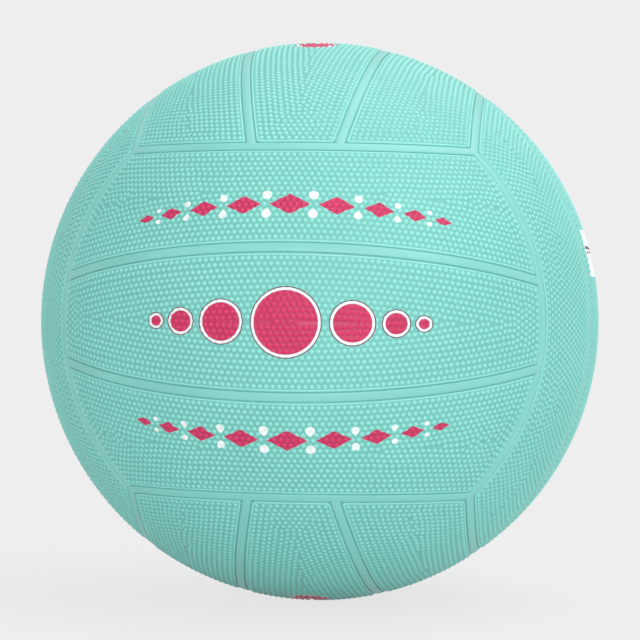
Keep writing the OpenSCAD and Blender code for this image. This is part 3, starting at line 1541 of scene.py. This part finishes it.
@dataclass
class Carcass:
    """The skin under the panels, with the ribs that stand up in the seams.

    Attributes:
        sizes: The ball's sizes.
        shoulder: Rounding of a rib's upper edges.
        crown: Height of a rib's middle above its shoulders.
        crown_bend: Shares of the rib's half width and of the crown at which its top bends.
        groove_depth: Depth of the groove's floor below a panel's rim.
        floor_rise: Rise of that floor at the panel's edge, and twice its rise at the rib.
        floor_low: Share of the floor's width at which it is lowest.
        floor_gap: Space between the floor and the panel's edge.
        root: Depth of a rib's root in the skin.
        lap: Length that an inner seam's rib laps past the middle of the rib it meets.
        lap_height: Height of that rib above the one it laps.
        step: Spacing of points along a rib.
        end_steps: Number of steps round its end.
        pairs: Number of pairs of ribs that fill every seam.
    """

    sizes: BallSizes
    shoulder: float = 0.35 * MM
    crown: float = 0.08 * MM
    crown_bend: tuple[float, float] = (0.6, 0.8)
    groove_depth: float = 0.75 * MM
    floor_rise: float = 0.12 * MM
    floor_low: float = 0.55
    floor_gap: float = 0.02 * MM
    root: float = 0.2 * MM
    lap: float = 0.5 * MM
    lap_height: float = 0.06 * MM
    step: float = 1.8 * MM
    end_steps: int = 12
    pairs: int = 12

    def rib(self, arc: Arc, lap: float, lift: float) -> Mesh:
        """Makes one rib along an arc, with round ends.

        Args:
            arc: The rib's middle line.
            lap: Length of rib past each end.
            lift: Height added to the rib.

        Returns:
            The closed rib.
        """
        sizes, shoulder = self.sizes, self.shoulder
        length = arc.length
        half = sizes.rib_width / 2
        near, far = half - lap if lap else 0.0, length - half + lap if lap else length
        top = sizes.rib_radius - self.crown - self.lap_height + lift
        floor = sizes.rim_radius - self.groove_depth
        base = sizes.carcass_radius - self.root
        slope = math.sqrt(0.5)
        foot = sizes.groove_width - self.floor_gap
        # Distance in from the rib's side, and distance from the ball's centre, from the root up
        levels = (
            (half, base),
            (-foot, base),
            (-foot, floor + self.floor_rise),
            (-foot * self.floor_low, floor),
            (-self.floor_rise / 4, floor + self.floor_rise / 2),
            (0.0, top - shoulder),
            (shoulder * (1 - slope), top - shoulder * (1 - slope)),
            (shoulder, top),
            (half * self.crown_bend[0], top + self.crown * self.crown_bend[1]),
            (half, top + self.crown),
        )
        count = math.ceil((far - near) / self.step)
        along = np.linspace(near, far, count + 1)
        angles = np.linspace(-math.pi / 2, math.pi / 2, self.end_steps + 1)[1:-1]
        rings = []
        for inset, level in levels:
            w = half - inset
            s = np.concatenate([along, far + w * np.cos(angles), along[::-1], near - w * np.cos(angles)])
            flat = np.full(count + 1, w)
            aside = np.concatenate([-flat, w * np.sin(angles), flat, -w * np.sin(angles)])
            rings.append(level * arc.points(s / length, aside))
        size = len(rings[0])
        faces = [
            (r * size + a, r * size + (a + 1) % size, (r + 1) * size + (a + 1) % size, (r + 1) * size + a)
            for r in range(len(rings) - 1)
            for a in range(size)
        ]
        return closed_mesh("rib", np.concatenate(rings), faces)

    def rib_pair(self) -> Mesh:
        """Makes one rib between two faces and one inside a face.

        Returns:
            Both ribs in one mesh, from which turns make all the others.
        """
        corner = np.array([1.0, -1.0, 1.0]) / math.sqrt(3)
        ahead = np.array([0.0, -1.0, 0.0])
        between = Arc.between(ahead, FACE_ANGLE, corner * (1, 1, -1), corner, self.sizes.ball_radius)
        inner = StripOutline(self.sizes, middle=False).arc(0, 0.0)
        ribs = [self.rib(between, 0.0, 0.0), self.rib(inner, self.lap, self.lap_height)]
        return joined_mesh("rib_pair", ribs)

    @staticmethod
    def rib_recipe() -> NodeRecipe:
        """Builds the tree that turns the pair of ribs into every seam.

        Returns:
            The recipe, with the number of pairs and the finish as inputs.
        """
        recipe = NodeRecipe("turn_ribs", {"Pairs": "Int", "Finish": "Material"})
        add, given = recipe.add, recipe.given
        index = add("GeometryNodeInputIndex")
        share = add("ShaderNodeMath", [index, 3.0], operation="DIVIDE")
        group = add("ShaderNodeMath", [share], operation="FLOOR")
        # The first group stays, and the others turn half way round about X, Y and Z
        axis = [add("ShaderNodeMath", [group, k + 1.0, SAME], operation="COMPARE") for k in range(3)]
        moved = add("ShaderNodeMath", [group, 1.0], operation="MINIMUM")
        half_turn = add("ShaderNodeMath", [moved, math.pi], operation="MULTIPLY")
        half = add("FunctionNodeAxisAngleToRotation", [add("ShaderNodeCombineXYZ", axis), half_turn])
        rest = add("ShaderNodeMath", [index, 3.0], operation="MODULO")
        third_turn = add("ShaderNodeMath", [rest, THIRD_TURN], operation="MULTIPLY")
        third = add("FunctionNodeAxisAngleToRotation", [(1.0, 1.0, 1.0), third_turn])
        turn = add("FunctionNodeRotateRotation", [half, third])
        points = add("GeometryNodePoints", [given["Pairs"]])
        ribs = {"Points": points, "Instance": given["Geometry"], "Rotation": turn}
        recipe.end(add("GeometryNodeInstanceOnPoints", ribs), {"Finish": True})
        return recipe

    def build(self) -> list[Object]:
        """Makes the carcass and puts it on the ball.

        Returns:
            The carcass alone, one piece with all its ribs.
        """
        sizes, outer = self.sizes, self.sizes.carcass_radius
        values = {"Pairs": self.pairs, "Finish": RIB_RUBBER.material()}
        piece = self.rib_recipe().make("carcass_skin", self.rib_pair(), values)
        profile = shell_profile(outer, outer - sizes.carcass_thickness, sizes.opening_radius)
        skin = joined_mesh(piece.name, [piece.data, lathe("shell", profile, SHELL_SEGMENTS)])
        skin.materials.append(values["Finish"])
        skin.shade_smooth()
        skin.set_sharp_from_angle(angle=CARCASS_CREASE)
        piece.data = skin
        return [settle_piece(piece, "carcass", "carcass_rubber")]


@dataclass
class InnerLayers:
    """The bladder and the thread that is wound round it.

    Attributes:
        sizes: The ball's sizes.
        strands: Number of windings that stand out from the layer.
        strand_radius: Radius of a strand.
        strand_steps: Number of points along a strand.
        strand_sides: Number of its sides.
        valve_clearance: Distance that the strands keep from the valve's axis.
        seam_width: Width of the bladder's moulded parting line.
        seam_height: Height of that line.
    """

    sizes: BallSizes
    strands: int = 150
    strand_radius: float = 0.14 * MM
    strand_steps: int = 90
    strand_sides: int = 5
    valve_clearance: float = 6.2 * MM
    seam_width: float = 1.4 * MM
    seam_height: float = 0.06 * MM

    def winding_recipe(self) -> NodeRecipe:
        """Builds the tree that winds strands round the ball on great circles.

        Returns:
            The recipe, with the strands' number, sizes and finish as inputs.
        """
        sizes = {"Layer Radius": "Float", "Strand Radius": "Float", "Clear Angle": "Float"}
        recipe = NodeRecipe("wind_thread", {"Strands": "Int", **sizes, "Finish": "Material"})
        add, given = recipe.add, recipe.given
        index = add("GeometryNodeInputIndex")
        # Golden angle steps spread the strands' axes evenly over half the ball
        middle = add("ShaderNodeMath", [index, 0.5], operation="ADD")
        share = add("ShaderNodeMath", [middle, given["Strands"]], operation="DIVIDE")
        height = add("ShaderNodeMath", [1.0, share], operation="SUBTRACT")
        square = add("ShaderNodeMath", [height, height], operation="MULTIPLY")
        rest = add("ShaderNodeMath", [1.0, square], operation="SUBTRACT")
        flat = add("ShaderNodeMath", [rest], operation="SQRT")
        turn = add("ShaderNodeMath", [index, math.pi * (3 - math.sqrt(5))], operation="MULTIPLY")
        cosine = add("ShaderNodeMath", [turn], operation="COSINE")
        along = add("ShaderNodeMath", [flat, cosine], operation="MULTIPLY")
        sine = add("ShaderNodeMath", [turn], operation="SINE")
        across = add("ShaderNodeMath", [flat, sine], operation="MULTIPLY")
        axis = add("ShaderNodeCombineXYZ", [across, along, height])
        # A strand whose axis is nearly square to the valve's would cross the valve
        least = add("ShaderNodeMath", [given["Clear Angle"]], operation="SINE")
        tilt = add("ShaderNodeMath", [along], operation="ABSOLUTE")
        clear = add("ShaderNodeMath", [tilt, least], operation="GREATER_THAN")
        facing = add("FunctionNodeAlignRotationToVector", {"Vector": axis})
        points = add("GeometryNodePoints", [given["Strands"]])
        radius = add("ShaderNodeMath", [given["Layer Radius"], given["Strand Radius"]], operation="SUBTRACT")
        loop = add("GeometryNodeCurvePrimitiveCircle", {"Resolution": self.strand_steps, "Radius": radius})
        section = {"Resolution": self.strand_sides, "Radius": given["Strand Radius"]}
        strand = add("GeometryNodeCurveToMesh", [loop, add("GeometryNodeCurvePrimitiveCircle", section)])
        strands = {"Points": points, "Selection": clear, "Instance": strand, "Rotation": facing}
        both = add("GeometryNodeJoinGeometry", [add("GeometryNodeInstanceOnPoints", strands)])
        recipe.end(fill(both, [given["Geometry"]]), {"Finish": True})
        return recipe

    def wind(self) -> Object:
        """Makes the wound layer.

        Returns:
            The cemented layer and its outer strands, in one piece.
        """
        sizes, outer = self.sizes, self.sizes.winding_radius
        profile = shell_profile(
            outer - self.strand_radius, outer - sizes.winding_thickness, sizes.opening_radius
        )
        values = {
            "Strands": self.strands,
            "Layer Radius": outer,
            "Strand Radius": self.strand_radius,
            "Clear Angle": self.valve_clearance / outer,
            "Finish": WOUND_NYLON.material(),
        }
        layer = lathe("layer", profile, SHELL_SEGMENTS)
        piece = self.winding_recipe().make("thread_winding", layer, values)
        piece.data.shade_smooth()
        return settle_piece(piece, "winding", "wound_thread")

    def blow(self) -> Object:
        """Makes the bladder.

        Returns:
            The inflated bladder, with the line where its two halves were moulded.
        """
        sizes, half, crest = self.sizes, self.seam_width / 2, self.sizes.bladder_radius
        outer = crest - self.seam_height
        body = shell_profile(outer, crest - sizes.bladder_thickness, sizes.opening_radius)
        skin, lining = body[: SHELL_STEPS + 1], body[SHELL_STEPS + 1 :]
        seam = [(outer, half), (crest, half / 2), (crest, -half / 2), (outer, -half)]
        # The seam takes the place of the skin's points near it
        clear = half * 1.5
        above = [point for point in skin if point[1] > clear]
        below = [point for point in skin if point[1] < -clear]
        mesh = lathe("air_bladder", [*above, *seam, *below, *lining], SHELL_SEGMENTS)
        mesh.materials.append(BLADDER_RUBBER.material())
        return settle_piece(new_object(mesh.name, mesh), "bladder", "bladder_rubber")

    def build(self) -> list[Object]:
        """Makes both layers."""
        return [self.wind(), self.blow()]


@dataclass
class Valve:
    """The needle valve: a rubber housing with a flange, and the plug that seals it.

    Attributes:
        sizes: The ball's sizes.
        sink: Depth of the valve's outer end below the tops of the pebbles.
        fit: Space between the plug and the housing.
        grips: Number of grip rings.
        grip_first: Distance from the plug's head to the middle of its first grip ring.
        grip_spacing: Distance from one grip ring to the next.
        grip_mouth: Half the width of a grip ring at the shank's surface.
        grip_floor: Half its width at its floor.
        grip_depth: Depth of a grip ring, and twice the rounding of its edges.
        mark_radius: Inner radius of the ring moulded into the head's face.
        mark_width: Width of that ring.
        mark_depth: Depth of that ring.
        flange_points: Number of points across each face of the flange.
    """

    sizes: BallSizes
    sink: float = 0.3 * MM
    neck_radius: float = 5.0 * MM
    housing_length: float = 19.0 * MM
    flange_radius: float = 14.0 * MM
    flange_thickness: float = 0.9 * MM
    air_hole_radius: float = 1.5 * MM
    head_radius: float = 3.9 * MM
    head_thickness: float = 1.2 * MM
    shank_radius: float = 3.0 * MM
    shank_length: float = 14.0 * MM
    fit: float = 0.05 * MM
    nose_length: float = 1.0 * MM
    nose_width: float = 0.7 * MM
    needle_radius: float = 1.0 * MM
    needle_length: float = 9.0 * MM
    funnel_radius: float = 1.9 * MM
    funnel_length: float = 0.8 * MM
    grips: int = 3
    grip_first: float = 3.5 * MM
    grip_spacing: float = 3.0 * MM
    grip_mouth: float = 0.5 * MM
    grip_floor: float = 0.25 * MM
    grip_depth: float = 0.2 * MM
    mark_radius: float = 2.7 * MM
    mark_width: float = 0.55 * MM
    mark_depth: float = 0.15 * MM
    flange_points: int = 9

    def __post_init__(self) -> None:
        """Works out the heights that the housing and the plug share."""
        self.top = self.sizes.ball_radius - self.sink
        self.head_under = self.top - self.head_thickness
        self.plug_end = self.head_under - self.shank_length

    def housing(self) -> Mesh:
        """Turns the housing.

        Returns:
            A tube with a rounded lip, a pocket for the plug and a curved flange.
        """
        sizes, top = self.sizes, self.top
        low = top - self.housing_length
        seat, pocket = self.head_under - self.fit, self.plug_end - self.fit
        above = sizes.bladder_radius - sizes.bladder_thickness - sizes.bond
        under = above - self.flange_thickness
        bore, mouth = self.shank_radius + self.fit, self.head_radius + self.fit
        neck, hole = self.neck_radius, self.air_hole_radius
        across = np.linspace(neck, self.flange_radius, self.flange_points)
        flange_under = [(r, math.sqrt(under**2 - r * r), 0.0) for r in across]
        flange_over = [(r, math.sqrt(above**2 - r * r), 0.0) for r in across[::-1]]
        # The third value of each corner is the radius that rounds it
        corners = [
            (hole, low, 0.3 * MM),
            (neck, low, 0.8 * MM),
            (*flange_under[0][:2], 0.5 * MM),
            *flange_under[1:-1],
            (*flange_under[-1][:2], 0.3 * MM),
            (*flange_over[0][:2], 0.3 * MM),
            *flange_over[1:],
            (neck, top, 0.45 * MM),
            (mouth, top, 0.25 * MM),
            (mouth, seat, 0.0),
            (bore, seat, 0.15 * MM),
            (bore, pocket, 0.0),
            (hole, pocket, 0.2 * MM),
        ]
        return lathe("valve_body", rounded(corners), VALVE_SEGMENTS)

    def plug(self) -> Mesh:
        """Turns the plug.

        Returns:
            A plug with rounded edges, shallow grip rings and the funnel for a needle.
        """
        top, shank, end = self.top, self.shank_radius, self.plug_end
        funnel_end = top - self.funnel_length
        hole_end = funnel_end - self.needle_length
        depth, soft = self.grip_depth, self.grip_depth / 2
        grips = []
        for k in range(self.grips):
            middle = self.head_under - (self.grip_first + self.grip_spacing * k)
            grips += [
                (shank, middle + self.grip_mouth, soft),
                (shank - depth, middle + self.grip_floor, soft),
                (shank - depth, middle - self.grip_floor, soft),
                (shank, middle - self.grip_mouth, soft),
            ]
        inner, outer, dip = self.mark_radius, self.mark_radius + self.mark_width, self.mark_depth
        # The third value of each corner is the radius that rounds it
        corners = [
            (0.0, hole_end, 0.0),
            (self.needle_radius, hole_end, 0.0),
            (self.needle_radius, funnel_end, 0.15 * MM),
            (self.funnel_radius, top, 0.12 * MM),
            (inner, top, 0.08 * MM),
            (inner + dip, top - dip, 0.08 * MM),
            (outer - dip, top - dip, 0.08 * MM),
            (outer, top, 0.08 * MM),
            (self.head_radius, top, 0.25 * MM),
            (self.head_radius, self.head_under, 0.1 * MM),
            (shank, self.head_under, 0.0),
            *grips,
            (shank, end + self.nose_length, 0.4 * MM),
            (shank - self.nose_width, end, 0.2 * MM),
            (0.0, end, 0.0),
        ]
        return lathe("valve_stopper", rounded(corners), VALVE_SEGMENTS)

    def build(self) -> list[Object]:
        """Makes both pieces and puts each on its own body.

        Returns:
            The housing, which stays in the ball, and the plug, which pulls out.
        """
        made = []
        for mesh, node, body, slot, finish in (
            (self.housing(), "valve_housing", BALL_BODY, "valve_rubber", VALVE_RUBBER),
            (self.plug(), "valve_plug", PLUG_BODY, "plug_rubber", PLUG_RUBBER),
        ):
            mesh.materials.append(finish.material())
            made.append(settle_piece(new_object(mesh.name, mesh), node, slot, body))
        return made


@dataclass(frozen=True)
class Softbox:
    """A square soft light that faces the ball, with its place, its width and its power in watts."""

    name: str
    place: tuple[float, float, float]
    width: float
    power: float

    def build(self) -> None:
        """Adds the light."""
        data = bpy.data.lights.new(self.name, "AREA")
        data.shape = "SQUARE"
        data.size = self.width
        data.energy = self.power
        lamp = new_object(self.name, data)
        lamp.location = self.place
        lamp.rotation_mode = "QUATERNION"
        lamp.rotation_quaternion = (-Vector(self.place)).to_track_quat("-Z", "Y")


@dataclass
class Studio:
    """Floor, light and camera.

    Attributes:
        sizes: The ball's sizes.
        backdrop: sRGB hex of the background that the camera sees.
        floor_half: Half the width of the floor.
        floor_roughness: Roughness of the painted floor.
        shadow_share: Share of the floor's own shading that the camera sees.
        shadow_reach: Distances from the ball's middle between which that share fades out.
        sky: Strength of the even light from all round.
        softboxes: The lamps.
        distance: Distance from the camera to the ball's centre, in ball radii.
        aim: Direction from the ball's centre to the camera.
        upright: Direction that is up in the picture.
        focal_pixels: Focal length in pixels of the picture.
        centre_pixel: Where the ball's centre falls in the picture.
        picture: Width and height of the picture in pixels.
        clip: Nearest and furthest distance that the camera sees.
    """

    sizes: BallSizes
    backdrop: str = "#EEEEEE"
    floor_half: float = 3.0
    floor_roughness: float = 0.9
    shadow_share: float = 0.12
    shadow_reach: tuple[float, float] = (0.12, 0.5)
    sky: float = 0.58
    softboxes: tuple[Softbox, ...] = (
        Softbox("key_softbox", (0.95, -1.0, 1.15), 0.9, 5.5),
        Softbox("front_softbox", (0.2, -1.6, 0.05), 0.9, 13.5),
        Softbox("overhead_softbox", (0.4, 0.05, 1.2), 1.2, 8.0),
    )
    distance: float = 8.41
    aim: tuple[float, float, float] = (0.10981, -0.99394, 0.00480)
    upright: tuple[float, float, float] = (-0.01270, 0.00343, 1.0)
    focal_pixels: float = 2330.2
    centre_pixel: tuple[float, float] = (319.8, 321.3)
    picture: int = 640
    clip: tuple[float, float] = (0.01, 50.0)

    @staticmethod
    def seen(add: Callable[..., Node]) -> Node:
        """Adds a switch that is one where the background itself is seen, straight, in gloss or through.

        Args:
            add: add_node for the tree.

        Returns:
            The switch.
        """
        path = add("ShaderNodeLightPath").outputs
        either = add("ShaderNodeMath", [path["Is Camera Ray"], path["Is Glossy Ray"]], operation="MAXIMUM")
        return add("ShaderNodeMath", [either, path["Is Transmission Ray"]], operation="MAXIMUM")

    def light_world(self) -> None:
        """Sets an even sky that the camera sees as the plain backdrop."""
        world = bpy.data.worlds.new("studio")
        world.use_nodes = True
        add = partial(add_node, world.node_tree)
        lit = fill(world.node_tree.nodes["Background"], [linear("#FFFFFF"), self.sky])
        plain = add("ShaderNodeBackground", [linear(self.backdrop), 1.0])
        mix = add("ShaderNodeMixShader", [self.seen(add), lit, plain])
        fill(world.node_tree.nodes["World Output"], {"Surface": mix})
        bpy.context.scene.world = world

    def lay_floor(self) -> None:
        """Lays a pale floor that fades into the backdrop, and marks it as the stage."""
        made, add, shader = new_material("painted_studio_floor")
        pale = linear(self.backdrop)
        fill(shader, {"Base Color": pale, "Roughness": self.floor_roughness})
        plain = add("ShaderNodeEmission", [pale, 1.0])
        place = add("ShaderNodeTexCoord").outputs["Object"]
        away = add("ShaderNodeVectorMath", [place], operation="LENGTH").outputs["Value"]
        fade = add("ShaderNodeMapRange", [away, *self.shadow_reach, 1 - self.shadow_share, 1.0])
        share = add("ShaderNodeMath", [fade, self.seen(add)], operation="MULTIPLY")
        mix = add("ShaderNodeMixShader", [share, shader, plain])
        fill(made.node_tree.nodes["Material Output"], {"Surface": mix})
        level, half = -self.sizes.ball_radius, self.floor_half
        corners = [(-half, -half, level), (half, -half, level), (half, half, level), (-half, half, level)]
        mesh = bpy.data.meshes.new("studio_floor")
        mesh.from_pydata(corners, [], [(0, 1, 2, 3)])
        mesh.materials.append(made)
        new_object(mesh.name, mesh)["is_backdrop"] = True

    def place_camera(self) -> None:
        """Places the camera where the photograph was taken from."""
        data = bpy.data.cameras.new("camera")
        data.lens = self.focal_pixels * data.sensor_width / self.picture
        data.shift_x = (self.picture / 2 - self.centre_pixel[0]) / self.picture
        data.shift_y = (self.centre_pixel[1] - self.picture / 2) / self.picture
        data.clip_start, data.clip_end = self.clip
        back = Vector(self.aim).normalized()
        side = Vector(self.upright).cross(back).normalized()
        turn = Matrix((side, back.cross(side), back)).transposed()
        place = Matrix.Translation(back * self.distance * self.sizes.ball_radius)
        camera = new_object("camera", data)
        camera.matrix_world = place @ turn.to_4x4()
        bpy.context.scene.camera = camera

    def build(self) -> None:
        """Sets the stage."""
        self.light_world()
        self.lay_floor()
        for softbox in self.softboxes:
            softbox.build()
        self.place_camera()
        bpy.context.scene.view_settings.view_transform = "Standard"


def main() -> None:
    """Builds the studio and every piece in order, reports the pieces, and works out the two boxes."""
    logging.basicConfig(level=logging.INFO, format="%(name)s: %(message)s")
    sizes = BallSizes()
    Studio(sizes).build()
    for assembly in (Cover, Carcass, InnerLayers, Valve):
        for piece in assembly(sizes).build():
            log.info("%s: %d faces", piece.name, len(piece.data.polygons))
    boxes = {"cad": cad_box, "visual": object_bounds()}
    {name: [list(corner) for corner in box] for name, box in boxes.items()}


if __name__ == "__main__":
    main()
